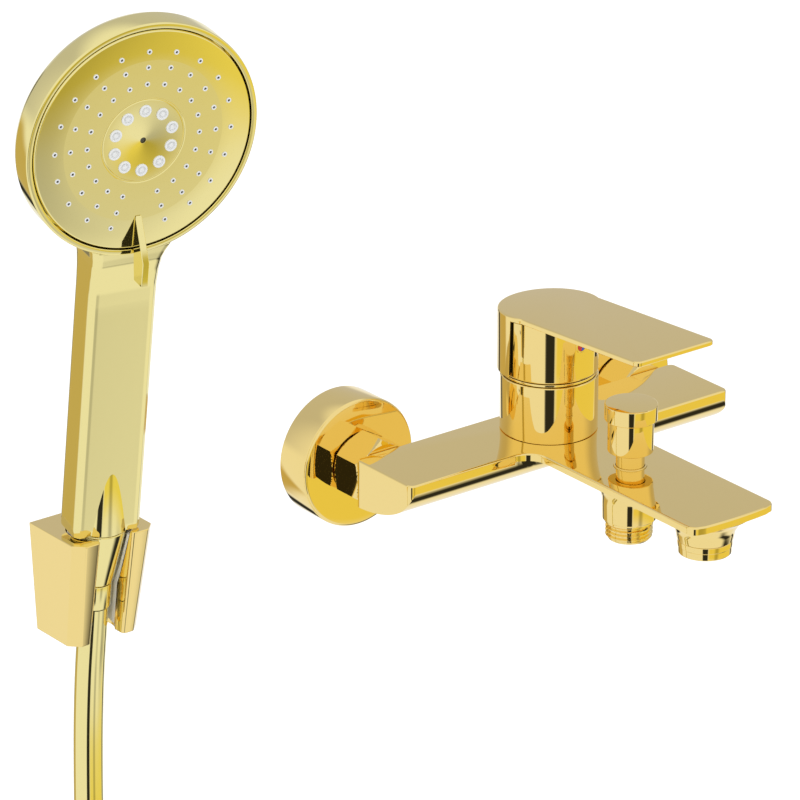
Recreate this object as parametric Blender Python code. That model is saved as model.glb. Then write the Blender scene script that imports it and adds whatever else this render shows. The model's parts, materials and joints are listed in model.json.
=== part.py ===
"""Wall mounted bath mixer with a hand shower on a wall holder, as separate solids.

Metres, +X along the wall, +Y into the wall, +Z up. The origin is on the wall's face, half way
between the two inlets. The wall is the plane y = 0.
"""

import math

import bmesh
import bpy
from mathutils import Matrix, Vector

MM = 0.001
GAP = 0.3 * MM
ROUND = 20
FINE = 30

# Mixer body
INLET_X = 75 * MM
WING_HALF_SPAN = 91 * MM
WING_BACK = -36.4 * MM
WING_FRONT = -76.1 * MM
PLATE_TOP = 12 * MM
LIP = 3.5 * MM
WING_DEPTH = 22.3 * MM
SPOUT_HALF_WIDTH = 23.4 * MM
SPOUT_END = -187 * MM
SPOUT_BULGE = 1.5 * MM
FILLET = 10 * MM
DUCT_HALF_WIDTH = 12 * MM
DUCT_DEPTH = 13 * MM
COLUMN_Y = -59 * MM
COLUMN_RADIUS = 21.9 * MM
COLUMN_TOP = 38.6 * MM
CARTRIDGE_RADIUS = 17.3 * MM
DIVERTER_Y = -115.4 * MM
AERATOR_Y = -166 * MM

# Radius and height of each outlet's flare below the plate, in millimetres
SHOWER_FLARE = ((22.6, 8.9), (16.5, 5.5), (13.2, 0), (12, -6), (12, -12.5))
AERATOR_FLARE = ((20.6, 8.9), (15.6, 6), (13.2, 2.5), (12.3, -1), (12.3, -4.6))

# Wall connections, measured out from the wall
ROSETTE_RADIUS = 30 * MM
ROSETTE_DEPTH = 18.5 * MM
NUT_FLATS = 28.5 * MM
NUT_NEAR = 19.3 * MM
NUT_FAR = 36 * MM
UNION_OFFSET = 5 * MM

# Lever and hub
HUB_BOTTOM = 40.5 * MM
LEVER_TOP = 69.9 * MM
LEVER_THICK = 2.4 * MM
LEVER_HALF_WIDTH = 22 * MM
LEVER_BACK_RADIUS = 23.2 * MM
LEVER_END = -144.8 * MM
LEVER_TILT = math.radians(3.5)
LIFT_Z = 31.5 * MM
HUB_RELIEF = math.radians(24)
INDEX_Z = 57 * MM

# Holder and hand shower
HOLDER_TOP = Vector((-218, -22.7, 9)) * MM
LEAN = math.radians(8)
HANDSET_TURN = math.radians(-8.7)
HOLDER_BOTTOM_Z = -42 * MM
SLOT_HALF_WIDTH = 8.1 * MM
HANDLE_HALF_WIDTH = 15.5 * MM
HANDLE_HALF_DEPTH = 9.25 * MM
HEAD_CENTRE = 192 * MM
HEAD_RADIUS = 52.3 * MM
FACE_FORWARD = 16.25 * MM
FACE_RADIUS = 49.2 * MM

# Hose
HOSE_DIAMETER = 13 * MM
FOLD_RADIUS = 39 * MM
HANK_RUN = 150 * MM
HANK_TOP_CENTRE = Vector((-179, -22.5, -210.5)) * MM
HANK_LAYERS = 3
HOSE_ROUTE = [
    Vector(point) * MM
    for point in (
        (-218, -17.4, -29.0),
        (-218, -15.7, -42),
        (-218, -13.2, -62),
        (-218, -11.3, -85),
        (-218, -10.2, -110),
        (-218, -9.6, -140),
        (-218, -9.5, -178),
    )
]


def clear_scene():
    for obj in list(bpy.data.objects):
        bpy.data.objects.remove(obj)


def finish(name, colour, roughness, metallic):
    """One Principled material."""
    material = bpy.data.materials.new(name)
    material.use_nodes = True
    shader = material.node_tree.nodes["Principled BSDF"]
    shader.inputs["Base Color"].default_value = (*colour, 1)
    shader.inputs["Roughness"].default_value = roughness
    shader.inputs["Metallic"].default_value = metallic
    return material


def add_frame(name, matrix, parent=None):
    """An empty that a group of pieces hangs on."""
    empty = bpy.data.objects.new(name, None)
    bpy.context.scene.collection.objects.link(empty)
    empty.parent = parent
    empty.matrix_local = matrix
    return empty


def mm(*points):
    """Points given in millimetres, in metres."""
    return [tuple(value * MM for value in point) for point in points]


def add_mesh(name, shape, material, frame, offset=(0, 0, 0)):
    """Turns a bmesh into an object that hangs on a frame."""
    bmesh.ops.remove_doubles(shape, verts=shape.verts, dist=1e-6)
    bmesh.ops.recalc_face_normals(shape, faces=shape.faces)
    mesh = bpy.data.meshes.new(name)
    shape.to_mesh(mesh)
    shape.free()
    mesh.shade_smooth()
    mesh.set_sharp_from_angle(angle=math.radians(30))
    mesh.materials.append(material)
    obj = bpy.data.objects.new(name, mesh)
    bpy.context.scene.collection.objects.link(obj)
    obj.parent = frame
    obj.location = offset
    return obj


def turned(name, profile, material, frame, offset=(0, 0, 0), steps=ROUND):
    """Spins (radius, height) points round local Z. A profile that leaves the axis is a ring."""
    shape = bmesh.new()
    points = [shape.verts.new((radius, 0, height)) for radius, height in profile]
    edges = [shape.edges.new(pair) for pair in zip(points, points[1:])]
    if profile[0][0] > 0:
        edges.append(shape.edges.new((points[-1], points[0])))
    bmesh.ops.spin(
        shape,
        geom=points + edges,
        cent=(0, 0, 0),
        axis=(0, 0, 1),
        angle=math.tau,
        steps=steps,
        use_merge=True,
    )
    return add_mesh(name, shape, material, frame, offset)


def ring(name, inner, outer, low, high, material, frame, offset=(0, 0, 0), steps=ROUND):
    """A plain ring, or a plain disc where inner is 0."""
    profile = [(inner, high), (outer, high), (outer, low), (inner, low)]
    return turned(name, profile, material, frame, offset, steps)


def skinned(name, rings, material, frame, offset=(0, 0, 0)):
    """Skins a closed solid over rings of as many points each, capped at both ends."""
    shape = bmesh.new()
    loops = [[shape.verts.new(point) for point in points] for points in rings]
    for low, high in zip(loops, loops[1:]):
        for i, here in enumerate(low):
            after = (i + 1) % len(low)
            shape.faces.new((here, low[after], high[after], high[i]))
    shape.faces.new(loops[0])
    shape.faces.new(loops[-1])
    return add_mesh(name, shape, material, frame, offset)


def prism(name, outline, low, high, material, frame, offset=(0, 0, 0)):
    """Extrudes an outline of (x, y) points along local Z."""
    rings = [[(x, y, z) for x, y in outline] for z in (low, high)]
    return skinned(name, rings, material, frame, offset)


def block(name, corner, opposite, material, frame):
    """A box between two corners."""
    (x0, y0, z0), (x1, y1, z1) = corner, opposite
    return prism(name, [(x0, y0), (x1, y0), (x1, y1), (x0, y1)], z0, z1, material, frame)


def combine(target, operation, *tools):
    """Joins tools to the target, cuts them from it, or keeps what they share."""
    for tool in tools:
        modifier = target.modifiers.new(tool.name, "BOOLEAN")
        modifier.operation = operation
        modifier.solver = "EXACT"
        modifier.object = tool
        tool.hide_render = True
        tool.display_type = "WIRE"
    return target


def arc(centre, radius, start, end, steps):
    """Points along an arc, angles in degrees."""
    angles = [math.radians(start + (end - start) * i / steps) for i in range(steps + 1)]
    return [(centre[0] + radius * math.cos(a), centre[1] + radius * math.sin(a)) for a in angles]


def mirrored(outline):
    """A half outline at +X, closed by its mirror image."""
    return outline + [(-x, y) for x, y in reversed(outline)]


def hexagon(flats):
    corner = flats / math.sqrt(3)
    return [(corner * math.cos(i * math.pi / 3), corner * math.sin(i * math.pi / 3)) for i in range(6)]


def smooth_route(points, spacing):
    """Points a spacing apart along the smooth Catmull-Rom curve through the route's points."""
    ends = [2 * points[0] - points[1], *points, 2 * points[-1] - points[-2]]
    fine = []
    for a, b, c, d in zip(ends, ends[1:], ends[2:], ends[3:]):
        for i in range(12):
            t = i / 12
            bend = (2 * a - 5 * b + 4 * c - d) * t**2
            turn = (3 * b - a - 3 * c + d) * t**3
            fine.append(0.5 * (2 * b + (c - a) * t + bend + turn))
    fine.append(points[-1])
    kept = [fine[0]]
    for point in fine:
        if (point - kept[-1]).length > spacing and (fine[-1] - point).length > spacing / 2:
            kept.append(point)
    return kept + [fine[-1]]


# Mixer body


def wing_section():
    """Section of the wings, in (y, z): a flat top, a thin front lip and a round underside."""
    lip_z = PLATE_TOP - LIP
    under = []
    for i in range(9):
        angle = math.radians(90 * i / 8)
        y = WING_BACK + (WING_FRONT - WING_BACK) * math.cos(angle)
        under.append((y, lip_z - (WING_DEPTH - LIP) * math.sin(angle)))
    return [(WING_BACK, PLATE_TOP), (WING_FRONT, PLATE_TOP), *under]


def spout_outline():
    """Half the spout's plan, from the wing to the bulged front edge."""
    corner = 4.5 * MM
    root = arc((SPOUT_HALF_WIDTH + FILLET, WING_FRONT - FILLET), FILLET, 90, 180, 6)
    front = arc((SPOUT_HALF_WIDTH - corner, SPOUT_END + SPOUT_BULGE + corner), corner, 0, -85, 4)
    inside = (SPOUT_HALF_WIDTH + FILLET, WING_FRONT + 16 * MM)
    return [inside, *root, *front, (SPOUT_HALF_WIDTH / 2, SPOUT_END + SPOUT_BULGE / 4)]


def duct_section():
    """Round underside of the water duct under the spout, in (x, z)."""
    top = PLATE_TOP - LIP
    under = []
    for i in range(9):
        angle = math.radians(180 * i / 8)
        under.append((DUCT_HALF_WIDTH * math.cos(angle), top - DUCT_DEPTH * math.sin(angle)))
    return [(DUCT_HALF_WIDTH, top + MM), *under, (-DUCT_HALF_WIDTH, top + MM)]


def mixer_body(brass, frames):
    """The casting: wings, spout plate, duct, outlet flares, column and inlet spigots, then its bores."""
    world, column, outward = frames["world"], frames["column"], frames["outward"]
    body = prism("mixer_body", wing_section(), -WING_HALF_SPAN, WING_HALF_SPAN, brass, frames["along_x"])
    plate = prism(
        "tool_plate", mirrored(spout_outline()), PLATE_TOP - LIP, PLATE_TOP, brass, world
    )
    duct = prism("tool_duct", duct_section(), 62 * MM, 176 * MM, brass, outward)
    shower_flare = turned(
        "tool_shower_flare",
        mm((0, 9.5), (22.6, 9.5), *SHOWER_FLARE, (0, -12.5)),
        brass,
        frames["diverter"],
    )
    aerator_flare = turned(
        "tool_aerator_flare",
        mm((0, 9.5), (20.6, 9.5), *AERATOR_FLARE, (0, -4.6)),
        brass,
        frames["aerator"],
    )
    stand = ring("tool_column", 0, COLUMN_RADIUS, 6 * MM, COLUMN_TOP, brass, column, steps=FINE)
    combine(body, "UNION", plate, duct, shower_flare, aerator_flare, stand)
    for side in (-1, 1):
        neck = mm((0, 40), (9.1, 40), (9.1, 30.7), (10.9, 30.7), (10.9, 28.8), (0, 28.8))
        combine(body, "UNION", turned("tool_spigot", neck, brass, outward, (side * INLET_X, 0, 0)))
        inlet = ring("tool_inlet", 0, 6 * MM, 28 * MM, 54 * MM, brass, outward, (side * INLET_X, 0, 0), 16)
        ends = sorted((side * 5 * MM, side * 77 * MM))
        feed = ring("tool_feed", 0, 4 * MM, *ends, brass, frames["along_x"], (-50 * MM, -MM, 0), 16)
        combine(body, "DIFFERENCE", inlet, feed)
    pocket = ring("tool_pocket", 0, CARTRIDGE_RADIUS + GAP, MM, 46 * MM, brass, column)
    passage = ring("tool_passage", 0, 4.2 * MM, 69 * MM, 168 * MM, brass, outward, (0, 1.5 * MM, 0), 18)
    chamber = turned(
        "tool_chamber",
        mm((0, 14), (7.5, 14), (7.5, 7.5), (9.8, 7.5), (9.8, -14), (0, -14)),
        brass,
        frames["diverter"],
        steps=32,
    )
    nose = ring("tool_nose", 0, 11.2 * MM, -6 * MM, 2.5 * MM, brass, frames["aerator"])
    combine(body, "DIFFERENCE", pocket, passage, chamber, nose)


def wall_connections(looks, frames):
    """Rosette, eccentric union, filter washer and union nut of each inlet."""
    outward = frames["outward"]
    for side, word in ((-1, "left"), (1, "right")):
        place = (side * INLET_X, 0, 0)
        r, d = ROSETTE_RADIUS / MM, ROSETTE_DEPTH / MM
        rim = mm(
            (12, d), (r - 1.2, d), (r, d - 1.2), (r, 0), (r - 1.5, 0), (r - 1.5, d - 1.5), (12, d - 1.5)
        )
        turned(f"rosette_{word}", rim, looks["gold"], outward, place, FINE)
        union = ring(f"s_union_{word}", 0, 11.1 * MM, 4 * MM, 27.5 * MM, looks["brass"], outward, place)
        wall_place = (side * INLET_X, -UNION_OFFSET, 0)
        thread = mm((0, 10), (10.4, 10), (10.4, -13), (9.4, -14), (0, -14))
        combine(union, "UNION", turned("tool_thread", thread, looks["brass"], outward, wall_place))
        combine(
            union,
            "DIFFERENCE",
            ring("tool_union_bore", 0, 7.5 * MM, 6 * MM, 29 * MM, looks["brass"], outward, place, 16),
            ring("tool_wall_bore", 0, 6.5 * MM, -15 * MM, 8 * MM, looks["brass"], outward, wall_place, 16),
        )
        ring(
            f"filter_washer_{word}", 7.5 * MM, 10.5 * MM, 27.8 * MM, 28.5 * MM, looks["rubber"],
            outward, place,
        )
        nut = prism(f"union_nut_{word}", hexagon(NUT_FLATS), NUT_NEAR, NUT_FAR, looks["gold"], outward, place)
        chamfer = mm((0, 36.1), (15, 36.1), (16.7, 34.6), (16.7, 20.7), (15, 19.2), (0, 19.2))
        combine(nut, "INTERSECT", turned("tool_chamfer", chamfer, looks["gold"], outward, place))
        bore = mm((0, 37), (9.5, 37), (9.5, 31), (11.4, 31), (11.4, 18), (0, 18))
        combine(nut, "DIFFERENCE", turned("tool_nut_bore", bore, looks["gold"], outward, place))


# Cartridge, hub and lever


def cartridge(looks, frames):
    """The single lever ceramic cartridge in the column."""
    column = frames["column"]
    plastic = looks["plastic"]
    shell = mm((10.5, 33), (17.3, 33), (17.3, 3.2), (15.2, 3.2), (15.2, 31), (10.5, 31))
    turned("cartridge_housing", shell, plastic, column)
    ring("cartridge_base_seal", 10.5 * MM, 16.5 * MM, 1.3 * MM, 2.9 * MM, looks["rubber"], column)
    ring("ceramic_disc_fixed", 3 * MM, 14.8 * MM, 3.2 * MM, 6.2 * MM, looks["ceramic"], column)
    ring("ceramic_disc_moving", 0, 9.5 * MM, 6.5 * MM, 9.5 * MM, looks["ceramic"], column)
    ring("cartridge_nut", 10.9 * MM, CARTRIDGE_RADIUS, 33.3 * MM, 37.8 * MM, looks["brass"], column)
    ring("column_ring", 18 * MM, 21.3 * MM, 38.9 * MM, 40.2 * MM, looks["gold"], column, steps=FINE)
    core = mm((0, 38.5), (10.2, 38.5), (10.2, 30.6), (14.9, 30.6), (14.9, 9.8), (0, 9.8))
    turret = turned("cartridge_turret", core, plastic, column)
    slot = block("tool_slot", (-4.4 * MM, -9 * MM, 13 * MM), (4.4 * MM, 9 * MM, 40 * MM), plastic, column)
    cross = ring("tool_cross", 0, 1.5 * MM, -16 * MM, 16 * MM, plastic, frames["lift_x"], steps=12)
    combine(turret, "DIFFERENCE", slot, cross)
    ring("spindle_pin", 0, 1.2 * MM, -9.5 * MM, 9.5 * MM, looks["steel"], frames["lift_x"], steps=12)


def hub(looks, frames):
    """The turning sleeve: its top follows the lever in front and falls away behind it."""
    column = frames["column"]
    sleeve = ring(
        "hub_cover", 20.4 * MM, COLUMN_RADIUS, HUB_BOTTOM, 78 * MM, looks["gold"], column, steps=FINE
    )
    reach = 30 * MM
    level = LEVER_TOP - LEVER_THICK - 2 * GAP
    above = [
        (-reach, level + reach * math.tan(LEVER_TILT)),
        (0, level),
        (reach, level - reach * math.tan(HUB_RELIEF)),
        (reach, 90 * MM),
        (-reach, 90 * MM),
    ]
    trim = prism("tool_hub_top", above, -reach, reach, looks["gold"], frames["along_x"], (COLUMN_Y, 0, 0))
    outward, index = frames["outward"], (0, INDEX_Z, 0)
    window = ring("tool_window", 0, 3.3 * MM, 75 * MM, 90 * MM, looks["gold"], outward, index, 16)
    combine(sleeve, "DIFFERENCE", trim, window)
    ring("index_plug", 0, 3 * MM, 79.4 * MM, 81.5 * MM, looks["plastic"], outward, index, 16)


def lever_outline():
    """Plan of the lever round the column axis: straight sides, a round back and small front corners."""
    corner = 3 * MM
    front = LEVER_END - COLUMN_Y
    side = math.degrees(math.acos(LEVER_HALF_WIDTH / LEVER_BACK_RADIUS))
    near = arc((LEVER_HALF_WIDTH - corner, front + corner), corner, -90, 0, 3)
    back = arc((0, 0), LEVER_BACK_RADIUS, -side, 180 + side, 24)
    return [*near, *back, *[(-x, y) for x, y in reversed(near)]]


def lever(looks, frames):
    """The plate, its half skirt behind the hub and the boss over the spindle."""
    column = frames["column"]
    gold = looks["gold"]
    handle = prism("lever_handle", lever_outline(), -LEVER_THICK, 0, gold, frames["lever_plate"])
    outer = arc((0, 0), LEVER_BACK_RADIUS - 0.05 * MM, 0, 180, 18)
    inner = arc((0, 0), COLUMN_RADIUS + GAP, 180, 0, 18)
    skirt = prism("tool_skirt", [*outer, *inner], HUB_BOTTOM, 67.2 * MM, gold, column)
    boss = ring("tool_boss", 0, 7 * MM, 48 * MM, 68 * MM, gold, column)
    combine(handle, "UNION", skirt, boss)
    half = 3.8 * MM
    socket = block("tool_socket", (-half, -half, 46 * MM), (half, half, 63 * MM), gold, column)
    outward, index = frames["outward"], (0, INDEX_Z, 0)
    screw_hole = ring("tool_screw_hole", 0, 2.2 * MM, 58 * MM, 70 * MM, gold, outward, index, 12)
    combine(handle, "DIFFERENCE", socket, screw_hole)
    half = 3.5 * MM
    spindle = block("lever_spindle", (-half, -half, 18 * MM), (half, half, 62.5 * MM), looks["steel"], column)
    eye = ring("tool_eye", 0, 1.5 * MM, -6 * MM, 6 * MM, looks["steel"], frames["lift_x"], steps=12)
    combine(spindle, "DIFFERENCE", eye)
    ring("lever_grub_screw", 0, 1.9 * MM, 62.9 * MM, 65.7 * MM, looks["steel"], outward, index, 12)


# Diverter and outlets


def coil_spring(name, radius, wire, low, high, turns, material, frame):
    """A round wire swept along a helix."""
    rings = []
    steps = 12 * turns
    for i in range(steps + 1):
        turn = math.tau * turns * i / steps
        middle = low + wire + (high - low - 2 * wire) * i / steps
        section = []
        for k in range(5):
            angle = math.tau * k / 5
            out = radius + wire * math.cos(angle)
            section.append((out * math.cos(turn), out * math.sin(turn), middle + wire * math.sin(angle)))
        rings.append(section)
    return skinned(name, rings, material, frame)


def diverter(looks, frames):
    """Pull knob, stem, return spring and the valve below the plate."""
    axis = frames["diverter"]
    gold = looks["gold"]
    cap = mm((0, 41.5), (11.1, 41.5), (11.7, 40.9), (11.7, 34.9), (11.1, 34.3), (0, 34.3))
    turned("diverter_knob_cap", cap, gold, axis)
    knob = mm((0, 34), (10.15, 34), (10.15, 19.3), (6.65, 19.3), (6.65, 30), (0, 30))
    turned("diverter_knob_body", knob, gold, axis)
    ring("diverter_stem", 0, 6.35 * MM, -4.8 * MM, 29.7 * MM, gold, axis)
    ring("diverter_bush", 6.6 * MM, 7.2 * MM, 5 * MM, 12.5 * MM, gold, axis)
    coil_spring("diverter_spring", 8.3 * MM, 0.4 * MM, -4.7 * MM, 7.1 * MM, 5, looks["steel"], axis)
    spool = mm(
        (0, -5.1), (9.2, -5.1), (9.2, -5.9), (6.8, -5.9), (6.8, -7.9), (9.2, -7.9), (9.2, -8.7), (0, -8.7)
    )
    turned("diverter_piston", spool, looks["brass"], axis)
    seal = mm((7.1, -6.3), (8.6, -6.2), (9.5, -6.9), (8.6, -7.6), (7.1, -7.5))
    turned("diverter_oring", seal, looks["rubber"], axis)
    ring("diverter_seat", 5.5 * MM, 9.5 * MM, -10.7 * MM, -9.1 * MM, looks["brass"], axis)


def outlets(looks, frames):
    """Threaded shower outlet with its check valve, and the aerator."""
    axis = frames["diverter"]
    crest, root, pitch = 10.48 * MM, 9.5 * MM, 1.814 * MM
    thread = []
    for i in range(4):
        top = -14.6 * MM - i * pitch
        thread += [(root, top), (crest, top - 0.35 * pitch), (crest, top - 0.6 * pitch)]
    profile = [
        *mm((7.2, -11), (9.5, -11), (9.5, -12.8), (10.9, -12.8), (10.9, -14)),
        *thread,
        *mm((9.5, -22), (7.2, -22)),
    ]
    turned("shower_outlet_nipple", profile, looks["gold"], axis)
    valve = mm((2, -14), (5, -15), (6.9, -15), (6.9, -20.5), (2, -20.5))
    turned("check_valve", valve, looks["plastic"], axis)
    nose = frames["aerator"]
    housing = mm(
        (9.5, 0.5), (10.9, 0.5), (10.9, -4.9), (12, -4.9), (12, -7.4), (11.6, -7.6),
        (11.6, -10.9), (8.8, -10.9), (8.8, -10.2), (9.5, -10.2),
    )
    turned("aerator_housing", housing, looks["gold"], nose)
    ring("aerator_insert", 0, 9.2 * MM, -9.9 * MM, -1 * MM, looks["plastic"], nose)
    ring("aerator_seal", 7.5 * MM, 10.8 * MM, 0.8 * MM, 2.2 * MM, looks["rubber"], nose)


# Holder


def holder_ring(z, half_width, depth):
    """Plan of the holder at one height: chamfered in front, flat on the wall."""
    chamfer = 4.5 * MM
    x, y = HOLDER_TOP.x, -depth
    half = [(half_width - chamfer, y), (half_width, y + chamfer), (half_width, 0)]
    return [(x + dx, dy, z) for dx, dy in mirrored(half)]


def holder(looks, frames):
    """Forked wall holder: shell, soft liner, wall plate and two screws."""
    world, lean = frames["world"], frames["holder"]
    gold = looks["gold"]
    rings = [
        holder_ring(HOLDER_BOTTOM_Z, 18 * MM, 27.5 * MM),
        holder_ring(HOLDER_TOP.z, 20.5 * MM, 37 * MM),
    ]
    fork = skinned("bracket_fork", rings, gold, world)
    seat = turned("tool_seat", mm((0, 6), (15, 6), (14.2, 0), (9.9, -27.3), (9.9, -60), (0, -60)), gold, lean)
    slot_box = ((-SLOT_HALF_WIDTH, -30 * MM, -62 * MM), (SLOT_HALF_WIDTH, 0, 8 * MM))
    slot = block("tool_fork_slot", *slot_box, gold, lean)
    left, right = HOLDER_TOP.x - 13.3 * MM, HOLDER_TOP.x + 13.3 * MM
    recess = block("tool_recess", (left, -5.5 * MM, -34 * MM), (right, 2 * MM, 2 * MM), gold, world)
    combine(fork, "DIFFERENCE", seat, slot, recess)
    sleeve = mm((12.8, -0.4), (13.9, -0.4), (9.6, -27.4), (9.6, -48), (8.6, -48), (8.6, -27.2))
    liner = turned("bracket_liner", sleeve, looks["plastic"], lean)
    combine(liner, "DIFFERENCE", block("tool_liner_slot", *slot_box, gold, lean))
    plate = block(
        "bracket_plate", (left + GAP, -3 * MM, -33.5 * MM), (right - GAP, 0, 1.5 * MM), looks["steel"], world
    )
    for word, z in (("upper", -6 * MM), ("lower", -26 * MM)):
        place = (HOLDER_TOP.x, z, 0)
        screw = mm((0, 5), (2.4, 5), (3.4, 4.2), (3.4, 3.3), (1.8, 3.3), (1.8, -20), (0, -22))
        turned(f"bracket_screw_{word}", screw, looks["steel"], frames["outward"], place, 16)
        hole = ring("tool_hole", 0, 2.1 * MM, -2 * MM, 4 * MM, gold, frames["outward"], place, 16)
        combine(plate, "DIFFERENCE", hole)


# Hand shower


def handle_ring(z, front):
    """Section of the handle: chamfered in front, rounder behind."""
    chamfer, back_chamfer = 2 * MM, 4 * MM
    half = [
        (HANDLE_HALF_WIDTH - chamfer, -front),
        (HANDLE_HALF_WIDTH, -front + chamfer),
        (HANDLE_HALF_WIDTH, HANDLE_HALF_DEPTH - back_chamfer),
        (HANDLE_HALF_WIDTH - back_chamfer, HANDLE_HALF_DEPTH),
    ]
    return [(x, y, z) for x, y in mirrored(half)]


def handset(looks, frames):
    """Handle and head shell, with the water way inside."""
    frame, head = frames["handset"], frames["head"]
    gold = looks["plated"]
    stations = mm((2, 9.25), (118, 9.25), (126, 10.3), (133, 12.6), (139, 15.2), (150, 15.2))
    shell = skinned("handset_shell", [handle_ring(z, front) for z, front in stations], gold, frame)
    rim, face = HEAD_RADIUS / MM, FACE_FORWARD / MM
    cup = mm(
        (0, face), (rim - 0.7, face), (rim, face - 0.65), (rim, 4.8), (49, 0), (40, -4.2), (24, -7.6),
        (0, -8.6),
    )
    boss = mm((0, 2), (12.25, 2), (9, 33.5), (0, 33.5))
    combine(
        shell,
        "UNION",
        turned("tool_cup", cup, gold, head, steps=FINE),
        turned("tool_cone_boss", boss, gold, frame, steps=26),
    )
    bore = mm((0, 152), (5.6, 152), (5.6, 21), (7.3, 21), (7.3, 1), (0, 1))
    combine(
        shell,
        "DIFFERENCE",
        ring("tool_face_recess", 0, 49.6 * MM, 8 * MM, 20 * MM, gold, head, steps=34),
        turned("tool_handle_bore", bore, gold, frame),
        ring("tool_port", 0, 3.5 * MM, 1 * MM, 9 * MM, gold, head, (0, -42 * MM, 0), 12),
    )
    ring("head_water_plate", 0, 48.5 * MM, 8.3 * MM, 9.5 * MM, looks["plastic"], head)
    ring("water_tube", 3.8 * MM, 5.2 * MM, 20.4 * MM, 148 * MM, looks["plastic"], frame, steps=20)
    thread = mm((5, 20), (7, 20), (7, 1.5), (8.3, 1.5), (8.3, -11.5), (5, -11.5))
    turned("thread_insert", thread, looks["brass"], frame)
    nut = mm((8.6, 1.7), (12.25, 1.7), (7.6, -25.3), (6.4, -25.3), (6.4, -14.6), (8.6, -14.6))
    turned("cone_nut", nut, gold, frame)
    ring("cone_gasket", 5.2 * MM, 8.2 * MM, -12.3 * MM, -11.8 * MM, looks["rubber"], frame)


def selector(looks, frames):
    """What turns in the head: spray disc, nozzle mat, face plate and its tab."""
    head = frames["head"]
    ring("spray_disc", 0, 46 * MM, 9.8 * MM, 10.9 * MM, looks["plastic"], head)
    ring("nozzle_mat", 0, 46 * MM, 11.2 * MM, 12.6 * MM, looks["nozzles"], head)
    face = mm((0, 16.6), (48.4, 16.6), (FACE_RADIUS / MM, 15.9), (FACE_RADIUS / MM, 12.9), (0, 12.9))
    turned("face_plate", face, looks["plated"], head, steps=FINE)
    fin = mm((-34, 16.9), (-52, 26.4), (-63, 26.4), (-63, 19), (-54, 17.4), (-48, 16.9))
    prism("selector_tab", fin, -1.5 * MM, 1.5 * MM, looks["plated"], frames["fin"])


# Hose


def hose(looks, frames):
    """The hose: its swivel end, the free stretch, the tied hank and the far nut."""
    ferrule = mm(
        (5, -12.6), (8.3, -12.6), (8.3, -14.2), (6.1, -14.2), (6.1, -26), (7.3, -26), (7.3, -37.6), (5, -37.6)
    )
    turned("hose_ferrule", ferrule, looks["plated"], frames["holder"])
    curve = bpy.data.curves.new("hose_tube", "CURVE")
    curve.dimensions = "3D"
    curve.bevel_depth = HOSE_DIAMETER / 2
    curve.bevel_resolution = 3
    curve.use_fill_caps = True
    points = smooth_route(HOSE_ROUTE, 2.2 * HOSE_DIAMETER)
    spline = curve.splines.new("POLY")
    spline.points.add(len(points) - 1)
    for slot, point in zip(spline.points, points):
        slot.co = (*point, 1)
    curve.materials.append(looks["plated"])
    tube = bpy.data.objects.new("hose_tube", curve)
    bpy.context.scene.collection.objects.link(tube)
    hank(looks, frames)


def oval(radius):
    """Outline of the hank in (x, z): two half circles joined by straight runs."""
    centre = (HANK_TOP_CENTRE.x, HANK_TOP_CENTRE.z)
    return [
        *arc(centre, radius, 0, 180, 14),
        *arc((centre[0], centre[1] - HANK_RUN), radius, 180, 360, 14),
    ]


def hank(looks, frames):
    """The put-away length as one oval solid, its tie, and the nut that hangs below it."""
    outer = FOLD_RADIUS + HOSE_DIAMETER / 2
    half_depth = HANK_LAYERS * HOSE_DIAMETER / 2
    middle = -HANK_TOP_CENTRE.y
    flat = frames["outward"]
    prism("hose_hank", oval(outer), middle - half_depth, middle + half_depth, looks["plated"], flat)
    x = HANK_TOP_CENTRE.x
    z = HANK_TOP_CENTRE.z - HANK_RUN / 2
    tie_height, tie_thick = 12 * MM, 1.4 * MM
    inside = (outer + GAP, half_depth + GAP)
    outside = (inside[0] + tie_thick, inside[1] + tie_thick)
    tie = []
    for half_x, half_y in (inside, outside):
        corners = ((-half_x, -half_y), (half_x, -half_y), (half_x, half_y), (-half_x, half_y))
        tie.append([(x + dx, -middle + dy) for dx, dy in corners])
    band = prism("hank_tie", tie[1], z - tie_height / 2, z + tie_height / 2, looks["rubber"], frames["world"])
    hole = prism("tool_tie", tie[0], z - tie_height, z + tie_height, looks["rubber"], frames["world"])
    combine(band, "DIFFERENCE", hole)
    place = (HOSE_ROUTE[0].x, -middle - HOSE_DIAMETER, HANK_TOP_CENTRE.z - HANK_RUN)
    nut = mm((7, -38), (12, -38), (12.2, -38.8), (12.2, -51.6), (11.6, -52.2), (9, -52.2), (9, -43), (7, -43))
    turned("hose_end_nut", nut, looks["plated"], frames["world"], place)
    ring("hose_end_gasket", 5 * MM, 8.7 * MM, -45.2 * MM, -43.3 * MM, looks["rubber"], frames["world"], place)


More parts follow.
